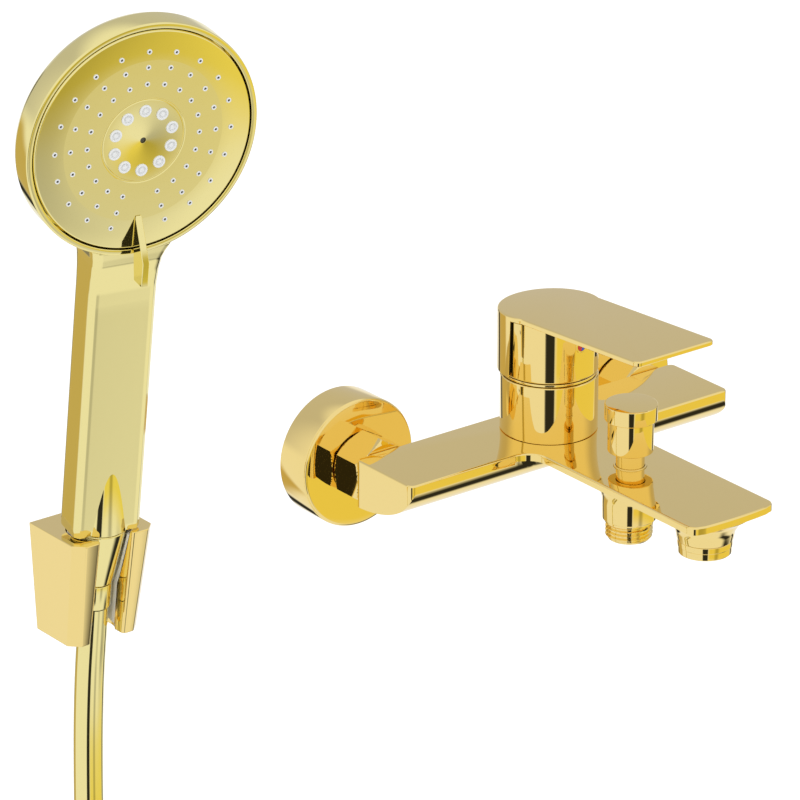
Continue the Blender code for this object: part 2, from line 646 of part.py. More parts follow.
def build_frames():
    """Every frame that pieces hang on. Pieces that move hang on their joint's axis."""
    world = add_frame("frame_world", Matrix())
    outward = add_frame("frame_outward", Matrix.Rotation(math.pi / 2, 4, "X"), world)
    along_x = Matrix(((0, 0, 1, 0), (1, 0, 0, 0), (0, 1, 0, 0), (0, 0, 0, 1)))
    lift = Matrix.Translation((0, COLUMN_Y, LIFT_Z))
    plate = Matrix.Translation((0, COLUMN_Y, LEVER_TOP)) @ Matrix.Rotation(-LEVER_TILT, 4, "X")
    holder_matrix = Matrix.Translation(HOLDER_TOP) @ Matrix.Rotation(LEAN, 4, "X")
    holder_frame = add_frame("frame_holder", holder_matrix, world)
    handset_frame = add_frame("frame_handset", Matrix.Rotation(HANDSET_TURN, 4, "Z"), holder_frame)
    head_matrix = Matrix.Translation((0, 0, HEAD_CENTRE)) @ Matrix.Rotation(math.pi / 2, 4, "X")
    head = add_frame("frame_head", head_matrix, handset_frame)
    return {
        "world": world,
        "outward": outward,
        "along_x": add_frame("frame_along_x", along_x, world),
        "column": add_frame("frame_column", Matrix.Translation((0, COLUMN_Y, 0)), world),
        "lift_x": add_frame("frame_lift", lift @ along_x, world),
        "lever_plate": add_frame("frame_lever_plate", plate, world),
        "diverter": add_frame("frame_diverter", Matrix.Translation((0, DIVERTER_Y, 0)), world),
        "aerator": add_frame("frame_aerator", Matrix.Translation((0, AERATOR_Y, 0)), world),
        "holder": holder_frame,
        "handset": handset_frame,
        "head": head,
        "fin": add_frame("frame_fin", along_x, head),
    }


def build_looks():
    return {
        "gold": finish("polished_gold", (0.83, 0.62, 0.22), 0.06, 1),
        "plated": finish("plated_plastic", (0.83, 0.62, 0.22), 0.08, 1),
        "brass": finish("raw_brass", (0.72, 0.56, 0.28), 0.35, 1),
        "steel": finish("steel", (0.62, 0.62, 0.62), 0.3, 1),
        "plastic": finish("white_plastic", (0.8, 0.8, 0.78), 0.45, 0),
        "nozzles": finish("nozzle_rubber", (0.86, 0.86, 0.84), 0.5, 0),
        "rubber": finish("black_rubber", (0.03, 0.03, 0.03), 0.7, 0),
        "ceramic": finish("ceramic", (0.9, 0.9, 0.88), 0.2, 0),
    }


def main():
    clear_scene()
    frames = build_frames()
    looks = build_looks()
    mixer_body(looks["gold"], frames)
    wall_connections(looks, frames)
    cartridge(looks, frames)
    hub(looks, frames)
    lever(looks, frames)
    diverter(looks, frames)
    outlets(looks, frames)
    holder(looks, frames)
    handset(looks, frames)
    selector(looks, frames)
    hose(looks, frames)


main()
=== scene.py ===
import json
import math

import bmesh
import bpy
import numpy as np
from mathutils import Matrix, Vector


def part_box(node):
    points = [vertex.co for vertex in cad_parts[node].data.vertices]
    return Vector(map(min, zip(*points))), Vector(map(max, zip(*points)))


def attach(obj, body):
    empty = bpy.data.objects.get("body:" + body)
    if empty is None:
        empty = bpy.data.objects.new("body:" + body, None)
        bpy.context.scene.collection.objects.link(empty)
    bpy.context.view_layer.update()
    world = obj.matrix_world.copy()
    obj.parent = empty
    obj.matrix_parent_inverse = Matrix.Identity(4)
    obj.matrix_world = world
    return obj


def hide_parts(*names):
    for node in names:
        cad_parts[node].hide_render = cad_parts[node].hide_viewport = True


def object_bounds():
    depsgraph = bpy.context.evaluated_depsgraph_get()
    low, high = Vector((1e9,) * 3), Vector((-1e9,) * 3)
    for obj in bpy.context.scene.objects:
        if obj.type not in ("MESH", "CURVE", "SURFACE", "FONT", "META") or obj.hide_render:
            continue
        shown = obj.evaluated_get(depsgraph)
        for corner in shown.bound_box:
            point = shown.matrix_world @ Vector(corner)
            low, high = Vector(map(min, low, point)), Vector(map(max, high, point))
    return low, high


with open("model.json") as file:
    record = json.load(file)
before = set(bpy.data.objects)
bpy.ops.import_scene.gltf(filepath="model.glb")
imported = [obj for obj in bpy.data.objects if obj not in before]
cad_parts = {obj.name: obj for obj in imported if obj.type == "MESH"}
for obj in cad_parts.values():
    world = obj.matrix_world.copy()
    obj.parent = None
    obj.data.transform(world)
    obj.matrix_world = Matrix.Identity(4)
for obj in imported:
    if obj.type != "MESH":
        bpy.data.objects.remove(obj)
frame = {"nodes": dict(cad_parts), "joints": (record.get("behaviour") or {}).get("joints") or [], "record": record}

CAD_BOX = [list(corner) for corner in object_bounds()]
MM = 0.001
JOINTS = {joint["name"]: joint for joint in frame["joints"]}

# Camera, seen from the front left and above
CAMERA_RIGHT = (0.7912, -0.6115, 0)
CAMERA_BACK = (-0.5646, -0.7305, 0.3843)
CAMERA_DISTANCE = 2.4
CAMERA_LENS = 238

# Mixer sizes that the frame's own boxes don't give
PLATE_TOP = 12 * MM
LIP = 3.5 * MM
WING_BACK = -36.4 * MM
WING_FRONT = -76.1 * MM
WING_DEPTH = 22.3 * MM
SPOUT_HALF_WIDTH = 23.4 * MM
FILLET = 10 * MM
COLUMN_RADIUS = 21.9 * MM
LEVER_TOP = 69.9 * MM
LEVER_TILT = math.radians(3.5)
HUB_RELIEF = math.radians(24)
THREAD_PITCH = 1.814 * MM

# Hose
HOSE_DIAMETER = 13 * MM
FOLD_RADIUS = 39 * MM
HANK_RUN = 150 * MM
HANK_TOP = np.array((-179, -22.5, -210.5)) * MM
HOSE_ROUTE = np.array((
    (-218, -17.4, -29.0),
    (-218, -15.7, -42),
    (-218, -13.2, -62),
    (-218, -11.3, -85),
    (-218, -10.2, -110),
    (-218, -9.6, -140),
    (-218, -9.5, -178),
)) * MM


# Frames: an origin and three axes as rows


def axes(origin, x, y, z):
    return np.array(origin, float), np.array((x, y, z), float)


def upright(x, y, z=0):
    """Local axes along the row's, with the origin moved."""
    return axes((x, y, z), (1, 0, 0), (0, 1, 0), (0, 0, 1))


def outward(x, z=0):
    """Local Z out from the wall, local Y up."""
    return axes((x, 0, z), (1, 0, 0), (0, 0, 1), (0, -1, 0))


def placed(points, place):
    """Local points carried into the row frame: the origin plus each coordinate times its axis."""
    return place[0] + np.asarray(points) @ place[1]


lean_axis = np.array(JOINTS["handset_turn"]["axis"])
holder_top = np.array(JOINTS["handset_turn"]["pos_m"])
face_axis = np.array(JOINTS["selector_turn"]["axis"])
head_point = np.array(JOINTS["selector_turn"]["pos_m"])
across = np.cross(lean_axis, face_axis)
COLUMN_Y = JOINTS["lever_turn"]["pos_m"][1]
DIVERTER_Y = float(sum(corner.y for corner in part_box("diverter_knob_cap")) / 2)
AERATOR_Y = float(sum(corner.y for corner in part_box("aerator_housing")) / 2)
INLET_X = float(sum(corner.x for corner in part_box("rosette_right")) / 2)
COLUMN = upright(0, COLUMN_Y)
DIVERTER = upright(0, DIVERTER_Y)
AERATOR = upright(0, AERATOR_Y)
HOLDER = axes(holder_top, (1, 0, 0), np.cross(lean_axis, (1, 0, 0)), lean_axis)
HANDSET = axes(holder_top, across, -face_axis, lean_axis)
HEAD = axes(head_point, across, lean_axis, face_axis)


# Surfaces


def surface(name, points, material, body, nodes=(), wrap=False, capped=False, sharp=35):
    """A grid of points, closed round its columns, made a mesh.

    Rows that meet at a pole are merged. wrap joins the last row to the first, and capped closes
    the first and last rows with one face each.
    """
    rows, columns = points.shape[:2]
    index = np.arange(rows * columns).reshape(rows, columns)
    if wrap:
        index = np.vstack([index, index[:1]])
    low, high = index[:-1], index[1:]
    quads = np.stack([low, np.roll(low, -1, 1), np.roll(high, -1, 1), high], -1).reshape(-1, 4)
    faces = quads.tolist()
    if capped:
        faces += [index[0].tolist(), index[-1].tolist()]
    return solid(name, points.reshape(-1, 3), faces, material, body, nodes, sharp)


def solid(name, points, faces, material, body, nodes=(), sharp=35):
    """Points and faces made a piece: doubles merged, faces out, smooth but for its sharp edges."""
    mesh = bpy.data.meshes.new(name)
    mesh.from_pydata(np.asarray(points).tolist(), [], faces)
    shape = bmesh.new()
    shape.from_mesh(mesh)
    bmesh.ops.remove_doubles(shape, verts=shape.verts, dist=2e-6)
    bmesh.ops.dissolve_degenerate(shape, edges=shape.edges, dist=1e-7)
    bmesh.ops.recalc_face_normals(shape, faces=shape.faces)
    shape.to_mesh(mesh)
    shape.free()
    mesh.shade_smooth()
    mesh.set_sharp_from_angle(angle=math.radians(sharp))
    mesh.materials.append(material)
    piece = bpy.data.objects.new(name, mesh)
    bpy.context.scene.collection.objects.link(piece)
    if body:
        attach(piece, body)
    if nodes:
        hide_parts(*nodes)
    return piece


def bored(piece, *tools):
    """The tools cut out of the piece, then removed."""
    for tool in tools:
        cut = piece.modifiers.new("bore", "BOOLEAN")
        cut.operation, cut.solver, cut.object = "DIFFERENCE", "EXACT", tool
    graph = bpy.context.evaluated_depsgraph_get()
    mesh = bpy.data.meshes.new_from_object(piece.evaluated_get(graph))
    piece.modifiers.clear()
    piece.data = mesh
    for tool in tools:
        bpy.data.objects.remove(tool)
    mesh.set_sharp_from_angle(angle=math.radians(28))


def rounded(corners, closed=False, steps=5):
    """A profile of (radius, height, fillet) corners, each fillet an arc that touches both sides."""
    made = []
    last = len(corners) - 1
    for i, (x, z, fillet) in enumerate(corners):
        here = np.array((x, z), float)
        if fillet == 0 or (not closed and i in (0, last)):
            made.append(here[None])
            continue
        before = np.array(corners[i - 1][:2]) - here
        after = np.array(corners[(i + 1) % len(corners)][:2]) - here
        before /= np.linalg.norm(before)
        after /= np.linalg.norm(after)
        half = 0.5 * math.acos(np.clip(before @ after, -1, 1))
        middle = here + (before + after) / np.linalg.norm(before + after) * fillet / math.sin(half)
        start, end = (here + way * fillet / math.tan(half) - middle for way in (before, after))
        t = np.linspace(0, 1, steps + 1)[:, None]
        sweep = math.pi - 2 * half
        made.append(middle + (np.sin((1 - t) * sweep) * start + np.sin(t * sweep) * end) / math.sin(sweep))
    return np.concatenate(made) * MM


def around(profile, place, count=128):
    """A profile of (radius, height) rows spun round local Z: x is r cos a, y is r sin a."""
    angle = np.linspace(0, math.tau, count, endpoint=False)
    radius, height = profile[:, :1], profile[:, 1:]
    local = np.stack([radius * np.cos(angle), radius * np.sin(angle), height + 0 * angle], -1)
    return placed(local, place)


def turned(name, corners, place, material, body, nodes=(), closed=False, count=128):
    """A turned piece from the filleted corners of its profile, in millimetres."""
    points = around(rounded(corners, closed), place, count)
    return surface(name, points, material, body, nodes, wrap=closed)


def arc(x, y, radius, start, end, count):
    """Points along an arc, angles in degrees."""
    angle = np.radians(np.linspace(start, end, count))
    return np.stack([x + radius * np.cos(angle), y + radius * np.sin(angle)], -1)


def line(start, end, count):
    """Points from start up to, but not at, the end."""
    t = np.linspace(0, 1, count, endpoint=False)[:, None]
    return np.array(start) * (1 - t) + np.array(end) * t


def outline_normals(outline):
    """Outward unit normals of a closed outline that runs anticlockwise."""
    along = np.roll(outline, -1, 0) - np.roll(outline, 1, 0)
    normal = np.stack([along[:, 1], -along[:, 0]], -1)
    return normal / np.linalg.norm(normal, axis=1, keepdims=True)


# Finishes


def node_finish(name, slot, colour, metallic, rough, grain, bump=0.0, stretch=(1, 1, 1), tint=0.0):
    """A Principled finish. Roughness wanders between two values with a noise on Object coordinates,
    a finer noise lifts the surface a little, and tint mottles the colour."""
    material = bpy.data.materials.new(name)
    material["slot"] = slot
    material.use_nodes = True
    nodes, links = material.node_tree.nodes, material.node_tree.links
    shader = nodes["Principled BSDF"]
    shader.inputs["Base Color"].default_value = (*colour, 1)
    shader.inputs["Metallic"].default_value = metallic
    place = nodes.new("ShaderNodeTexCoord")
    scale = nodes.new("ShaderNodeMapping")
    scale.inputs["Scale"].default_value = stretch
    links.new(place.outputs["Object"], scale.inputs["Vector"])
    noise = nodes.new("ShaderNodeTexNoise")
    noise.inputs["Scale"].default_value = grain
    noise.inputs["Detail"].default_value = 4
    links.new(scale.outputs["Vector"], noise.inputs["Vector"])
    spread = nodes.new("ShaderNodeMapRange")
    spread.inputs["To Min"].default_value = rough[0]
    spread.inputs["To Max"].default_value = rough[1]
    links.new(noise.outputs["Fac"], spread.inputs["Value"])
    links.new(spread.outputs["Result"], shader.inputs["Roughness"])
    if bump:
        fine = nodes.new("ShaderNodeTexNoise")
        fine.inputs["Scale"].default_value = grain * 6
        links.new(scale.outputs["Vector"], fine.inputs["Vector"])
        lift = nodes.new("ShaderNodeBump")
        lift.inputs["Strength"].default_value = bump
        lift.inputs["Distance"].default_value = 0.0002
        links.new(fine.outputs["Fac"], lift.inputs["Height"])
        links.new(lift.outputs["Normal"], shader.inputs["Normal"])
    if tint:
        ramp = nodes.new("ShaderNodeValToRGB")
        ramp.color_ramp.elements[0].color = (*[c * (1 - tint) for c in colour], 1)
        ramp.color_ramp.elements[1].color = (*[min(1, c * (1 + tint)) for c in colour], 1)
        links.new(noise.outputs["Fac"], ramp.inputs["Fac"])
        links.new(ramp.outputs["Color"], shader.inputs["Base Color"])
    return material


def build_finishes():
    gold, soft_gold = (0.93, 0.73, 0.29), (0.90, 0.80, 0.36)
    return {
        "gold": node_finish("mirror_gold", "polished_gold", gold, 1, (0.02, 0.05), 30, 0.01),
        "plated": node_finish("plated_gold", "plated_plastic", soft_gold, 1, (0.03, 0.07), 30, 0.015),
        "brass": node_finish(
            "machined_brass", "raw_brass", (0.7, 0.5, 0.22), 1, (0.22, 0.4), 180, 0.2, tint=0.1
        ),
        "steel": node_finish("plain_steel", "steel", (0.6, 0.6, 0.6), 1, (0.2, 0.4), 120, 0.15, (1, 1, 8)),
        "white": node_finish(
            "moulded_plastic", "white_plastic", (0.78, 0.78, 0.75), 0, (0.35, 0.5), 90, 0.1
        ),
        "nozzles": node_finish(
            "nozzle_silicone", "nozzle_rubber", (0.66, 0.67, 0.67), 0, (0.4, 0.55), 200, 0.1
        ),
        # Near-black painted shade: the colour of the discs set in the nozzle holes and the centre hole, standing
        # for the dark inside of the holes.
        "hole": node_finish("nozzle_bore", "nozzle_rubber", (0.06, 0.06, 0.05), 0, (0.5, 0.7), 200),
        "rubber": node_finish(
            "black_rubber", "black_rubber", (0.025, 0.025, 0.027), 0, (0.6, 0.8), 150, 0.2
        ),
        "ceramic": node_finish("lapped_ceramic", "ceramic", (0.88, 0.88, 0.85), 0, (0.12, 0.22), 60),
        "red": node_finish("index_red", "white_plastic", (0.65, 0.03, 0.03), 0, (0.2, 0.3), 90),
        "blue": node_finish("index_blue", "white_plastic", (0.03, 0.09, 0.6), 0, (0.2, 0.3), 90),
    }


# Stage: camera, floor, soft lights and a ring of cards that only gloss sees


def look_from():
    """Unit vectors right, up and back of the camera."""
    right, back = np.array(CAMERA_RIGHT), np.array(CAMERA_BACK)
    back /= np.linalg.norm(back)
    up = np.cross(back, right)
    return right, up / np.linalg.norm(up), back


def camera():
    right, up, back = look_from()
    data = bpy.data.cameras.new("camera")
    data.lens, data.sensor_width = CAMERA_LENS, 36
    data.clip_end = 50
    seen = bpy.data.objects.new("camera", data)
    bpy.context.scene.collection.objects.link(seen)
    aim = -0.030 * right + 0.0045 * up
    matrix = np.eye(4)
    matrix[:3, 0], matrix[:3, 1], matrix[:3, 2] = right, up, back
    matrix[:3, 3] = aim + CAMERA_DISTANCE * back
    seen.matrix_world = Matrix(matrix.tolist())
    bpy.context.scene.camera = seen


def step(value, low, high):
    """0 below low, 1 above high, smooth between."""
    t = np.clip((value - low) / (high - low), 0, 1)
    return t * t * (3 - 2 * t)


def band(value, low, high, soft=3):
    """1 between low and high, with soft edges."""
    return step(value, low - soft, low + soft) * (1 - step(value, high - soft, high + soft))


def studio_glow(turn, rise):
    """Brightness and tint of the studio by direction: turn from the camera's side, rise above level."""
    glow = np.ones((*turn.shape, 3)) * 0.92
    back_wall = band(rise, 2, 48, 6) * step(np.abs(turn), 82, 122)
    glow *= 1 - back_wall[..., None] * np.array((0.36, 0.36, 0.30))
    warm = band(rise, -32, -4, 3) * band(turn, 14, 128, 4)
    glow *= 1 - warm[..., None] * np.array((0.05, 0.19, 0.80))
    shade = band(rise, -40, -2, 4) * band(turn, -142, -113, 3)
    glow *= 1 - shade[..., None] * np.array((0.36, 0.5, 0.8))
    dark = band(turn, -11, 11, 1.5) * band(rise, -42, -4, 2)
    dark = np.maximum(dark, band(turn, 132, 146, 2) * band(rise, -38, 2, 2))
    dark = np.maximum(dark, band(turn, -152, -142, 2) * band(rise, -38, 2, 2))
    dark = np.maximum(dark, band(turn, 84, 126, 12) * band(rise, -64, -36, 5))
    dark = np.maximum(dark, band(turn, -168, -150, 3) * band(rise, -47, -34, 3))
    dark = np.maximum(dark, 0.45 * band(turn, 40, 56, 7) * band(rise, -40, -4, 4))
    glow *= (1 - 0.97 * dark)[..., None]
    return glow


def glow_dome():
    """A far sphere that only glossy rays see, so that the gold mirrors white, grey and black cards."""
    rows, columns = 90, 180
    rise = np.linspace(-90, 90, rows)
    bearing = np.linspace(-180, 180, columns, endpoint=False)
    rise, bearing = np.meshgrid(rise, bearing, indexing="ij")
    camera_side = math.degrees(math.atan2(CAMERA_BACK[1], CAMERA_BACK[0]))
    turn = (bearing - camera_side + 180) % 360 - 180
    level = np.cos(np.radians(rise))
    east, north = level * np.cos(np.radians(bearing)), level * np.sin(np.radians(bearing))
    way = np.stack([east, north, np.sin(np.radians(rise))], -1)
    index = np.arange(rows * columns).reshape(rows, columns)
    low, high = index[:-1], index[1:]
    quads = np.stack([low, high, np.roll(high, -1, 1), np.roll(low, -1, 1)], -1).reshape(-1, 4)
    mesh = bpy.data.meshes.new("glow_dome")
    mesh.from_pydata((way.reshape(-1, 3) * 9).tolist(), [], quads.tolist())
    colour = mesh.attributes.new("glow", "FLOAT_COLOR", "POINT")
    tint = np.concatenate([studio_glow(turn, rise), np.ones((rows, columns, 1))], -1)
    colour.data.foreach_set("color", tint.astype(np.float32).ravel())
    mesh.shade_smooth()
    material = bpy.data.materials.new("glow_dome")
    material.use_nodes = True
    nodes, links = material.node_tree.nodes, material.node_tree.links
    nodes.clear()
    read = nodes.new("ShaderNodeAttribute")
    read.attribute_name = "glow"
    shine = nodes.new("ShaderNodeEmission")
    out = nodes.new("ShaderNodeOutputMaterial")
    links.new(read.outputs["Color"], shine.inputs["Color"])
    links.new(shine.outputs["Emission"], out.inputs["Surface"])
    mesh.materials.append(material)
    dome = bpy.data.objects.new("glow_dome", mesh)
    bpy.context.scene.collection.objects.link(dome)
    dome.visible_camera = False
    dome.visible_diffuse = False
    dome.visible_shadow = False
    dome.visible_transmission = False


def floor_and_lights():
    bpy.context.scene.view_settings.view_transform = "Standard"
    world = bpy.data.worlds.new("studio")
    world.use_nodes = True
    world.node_tree.nodes["Background"].inputs["Color"].default_value = (1, 1, 1, 1)
    world.node_tree.nodes["Background"].inputs["Strength"].default_value = 1.0
    bpy.context.scene.world = world
    mesh = bpy.data.meshes.new("floor")
    reach, level = 12.0, CAD_BOX[0][2] - 0.02
    corners = [(-reach, -reach, level), (reach, -reach, level), (reach, reach, level), (-reach, reach, level)]
    mesh.from_pydata(corners, [], [(0, 1, 2, 3)])
    material = bpy.data.materials.new("floor")
    material.use_nodes = True
    shader = material.node_tree.nodes["Principled BSDF"]
    shader.inputs["Base Color"].default_value = (0.97, 0.97, 0.97, 1)
    shader.inputs["Roughness"].default_value = 0.9
    mesh.materials.append(material)
    floor = bpy.data.objects.new("floor", mesh)
    bpy.context.scene.collection.objects.link(floor)
    floor.visible_glossy = False
    for name, place, size, power in (
        ("key", (-1.4, -1.6, 2.2), 1.8, 18),
        ("fill", (1.8, -1.2, 1.4), 1.6, 8),
        ("back", (0.4, 1.8, 2.0), 1.6, 8),
    ):
        data = bpy.data.lights.new(name, "AREA")
        data.size, data.energy = size, power
        lamp = bpy.data.objects.new(name, data)
        lamp.location = place
        lamp.rotation_euler = (-lamp.location).to_track_quat("-Z", "Y").to_euler()
        bpy.context.scene.collection.objects.link(lamp)
        lamp.visible_glossy = False


# Hose: first, because its place decides whether the frame still stands


def smooth(points, per_span):
    """A Catmull-Rom curve through the points: each span is a cubic whose slopes are half the
    difference of its neighbours."""
    ends = np.vstack([2 * points[0] - points[1], points, 2 * points[-1] - points[-2]])
    a, b, c, d = ends[:-3, None], ends[1:-2, None], ends[2:-1, None], ends[3:, None]
    t = np.linspace(0, 1, per_span, endpoint=False)[None, :, None]
    bend, turn = 2 * a - 5 * b + 4 * c - d, 3 * b - a - 3 * c + d
    spans = 0.5 * (2 * b + (c - a) * t + bend * t**2 + turn * t**3)
    return np.vstack([spans.reshape(-1, 3), points[-1:]])


def hank_turn(layer):
    """One turn of the hank from the top of its left run: down, round, up, and over to the next layer."""
    x, y, z = HANK_TOP[0], HOSE_ROUTE[-1][1] - layer * HOSE_DIAMETER, HANK_TOP[2]
    left, right = x - FOLD_RADIUS, x + FOLD_RADIUS
    down = np.stack([np.full(4, left), np.full(4, y), z - HANK_RUN * np.arange(4) / 4], -1)
    angle = np.radians(np.linspace(180, 360, 13))
    under = np.stack(
        [x + FOLD_RADIUS * np.cos(angle), np.full(13, y), z - HANK_RUN + FOLD_RADIUS * np.sin(angle)], -1
    )
    up = np.stack([np.full(3, right), np.full(3, y), z - HANK_RUN * (1 - np.arange(1, 4) / 4)], -1)
    angle = np.radians(np.linspace(0, 180, 13)[:-1])
    over_y = y - HOSE_DIAMETER * step(angle, 0.25, math.pi - 0.25)
    over = np.stack([x + FOLD_RADIUS * np.cos(angle), over_y, z + FOLD_RADIUS * np.sin(angle)], -1)
    return np.vstack([down, under, up, over])


def hose(finishes):
    tail_y = HOSE_ROUTE[-1][1] - 2 * HOSE_DIAMETER
    tail = np.array([
        (HANK_TOP[0] - FOLD_RADIUS, tail_y, HANK_TOP[2] - run * MM) for run in (0, 40, 80, 120, 160, 190)
    ])
    route = np.vstack([HOSE_ROUTE, hank_turn(0), hank_turn(1), tail])
    points = smooth(route, 6)
    curve = bpy.data.curves.new("shower_hose", "CURVE")
    curve.dimensions = "3D"
    curve.bevel_depth = HOSE_DIAMETER / 2
    curve.bevel_resolution = 8
    curve.use_fill_caps = True
    spline = curve.splines.new("POLY")
    spline.points.add(len(points) - 1)
    spline.points.foreach_set("co", np.hstack([points, np.ones((len(points), 1))]).ravel())
    spline.use_smooth = True
    curve.materials.append(finishes["plated"])
    piece = bpy.data.objects.new("shower_hose", curve)
    bpy.context.scene.collection.objects.link(piece)
    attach(piece, "hose")
    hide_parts("hose_tube", "hose_hank")
    place = upright(HANK_TOP[0] - FOLD_RADIUS, tail_y, HANK_TOP[2] - HANK_RUN)
    nut = hose_nut(finishes, place)
    tie = hose_tie(finishes)
    sleeve = [
        (5, -12.6, 0), (8.3, -12.6, 0.2), (8.3, -14.2, 0.2), (6.1, -14.2, 0), (6.1, -26, 0),
        (7.3, -26, 0.4), (7.3, -37.6, 0.5), (5, -37.6, 0),
    ]
    crimp = turned("hose_crimp", sleeve, HOLDER, finishes["plated"], "hose", ("hose_ferrule",), closed=True)


def hose_nut(finishes, place):
    """The hose's nut: a sleeve whose radius carries 24 shallow flutes."""
    corners = [
        (7, -38, 0.3), (11, -38, 0.8), (12.1, -39.6, 0.4), (12.1, -51.2, 0.4), (11.2, -52.2, 0.4),
        (9, -52.2, 0.3), (9, -43, 0.3), (7, -43, 0.3),
    ]
    profile = rounded(corners, closed=True)
    angle = np.linspace(0, math.tau, 240, endpoint=False)
    radius, height = profile[:, :1], profile[:, 1:]
    outer = step(radius, 11.4 * MM, 12 * MM)
    radius = radius - outer * 0.3 * MM * (0.5 + 0.5 * np.cos(24 * angle)) ** 2
    local = np.stack([radius * np.cos(angle), radius * np.sin(angle), height + 0 * angle], -1)
    return surface(
        "hose_nut", placed(local, place), finishes["plated"], "hose", ("hose_end_nut",), wrap=True
    )


def hose_tie(finishes):
    """A flat strap round the hank: a rounded box section carried round a rounded rectangle."""
    half_x = FOLD_RADIUS + HOSE_DIAMETER / 2 + 0.9 * MM
    half_y = 1.5 * HOSE_DIAMETER + 0.9 * MM
    radius = 6 * MM
    corner = (half_x - radius, half_y - radius)
    outline = np.vstack([
        arc(corner[0], -corner[1], radius, -90, 0, 9),
        arc(corner[0], corner[1], radius, 0, 90, 9),
        arc(-corner[0], corner[1], radius, 90, 180, 9),
        arc(-corner[0], -corner[1], radius, 180, 270, 9),
    ])
    normal = outline_normals(outline)
    corners = [(-0.6, -6, 0.3), (0.6, -6, 0.3), (0.6, 6, 0.3), (-0.6, 6, 0.3)]
    section = rounded(corners, closed=True, steps=2)
    flat = outline[None] + normal[None] * section[:, None, :1]
    height = np.broadcast_to(section[:, 1][:, None, None], (*flat.shape[:2], 1))
    points = np.concatenate([flat, height], -1)
    place = upright(HANK_TOP[0], HANK_TOP[1], HANK_TOP[2] - HANK_RUN / 2)
    points = placed(points, place)
    return surface("hank_strap", points, finishes["rubber"], "hose", ("hank_tie",), wrap=True)


# Mixer body


def held(points, place):
    """The one place, as often as there are points."""
    return np.broadcast_to(np.array(place), points.shape)


def body_outline():
    """The T of the body in plan, anticlockwise, and for each point the place on the T's centre
    lines that it is drawn in to. Both sides of a centre line use the same places."""
    low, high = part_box("mixer_body")
    span, back, front, end = high.x, WING_BACK, WING_FRONT, low.y
    middle = (back + front) / 2
    reach = (back - front) / 2
    corner, nose, bulge = 3 * MM, 4.5 * MM, 1.5 * MM
    fan = span - reach
    root = SPOUT_HALF_WIDTH + FILLET
    # Right half, from the front edge's middle, round to the middle of the back edge
    across_front = line((0, end), (SPOUT_HALF_WIDTH - nose, end + bulge), 12)
    across_front[:, 1] = end + bulge * (across_front[:, 0] / SPOUT_HALF_WIDTH) ** 2
    nose_arc = arc(SPOUT_HALF_WIDTH - nose, end + bulge + nose, nose, -85, 0, 9)
    tip = end + SPOUT_HALF_WIDTH
    side = line((SPOUT_HALF_WIDTH, end + bulge + nose + MM), (SPOUT_HALF_WIDTH, front - FILLET), 30)
    fillet = arc(root, front - FILLET, FILLET, 180, 90, 19)
    wing_x = np.concatenate([np.linspace(root, fan, 14)[1:], np.linspace(fan, span - corner, 8)[1:-1]])
    wing_front = np.stack([wing_x, np.full(len(wing_x), front)], -1)
    front_corner = arc(span - corner, front + corner, corner, -90, 0, 8)
    wing_end = line((span, front + corner + 0.5 * MM), (span, back - corner), 26)
    back_corner = arc(span - corner, back - corner, corner, 0, 90, 8)
    side_middle = np.stack([0 * side[:, 0], np.maximum(side[:, 1], tip)], -1)
    travel = np.linspace(0, 1, len(fillet))
    drop = (middle - side[-1, 1]) / (middle - side[-1, 1] + root)
    fillet_middle = np.stack([
        np.clip((travel - drop) / (1 - drop), 0, 1) * root,
        side[-1, 1] + np.clip(travel / drop, 0, 1) * (middle - side[-1, 1]),
    ], -1)
    wing_middle = np.stack([np.minimum(wing_x, fan), np.full(len(wing_x), middle)], -1)
    crossing = fillet_middle[fillet_middle[:, 1] > middle - 1e-9]
    back_x = np.concatenate([wing_x[::-1], crossing[::-1, 0][1:]])
    wing_back = np.stack([back_x, np.full(len(back_x), back)], -1)
    back_middle = np.stack([np.minimum(back_x, fan), np.full(len(back_x), middle)], -1)
    half = np.vstack([
        across_front, nose_arc, side, fillet, wing_front, front_corner, wing_end, back_corner, wing_back
    ])
    inner = np.vstack([
        held(across_front, (0, tip)), held(nose_arc, (0, tip)), side_middle, fillet_middle, wing_middle,
        held(front_corner, (fan, middle)), held(wing_end, (fan, middle)), held(back_corner, (fan, middle)),
        back_middle,
    ])
    mirror = np.array((-1, 1))
    other = slice(-2 if abs(half[-1, 0]) < 1e-9 else -1, 0, -1)
    return np.vstack([half, half[other] * mirror]), np.vstack([inner, inner[other] * mirror])


def underside(y):
    """Height of the body's underside: a quarter ellipse under the wings, level under the spout."""
    t = np.clip((WING_BACK - y) / (WING_BACK - WING_FRONT), 0, 1)
    return PLATE_TOP - LIP - (WING_DEPTH - LIP) * np.sqrt(1 - t**2)


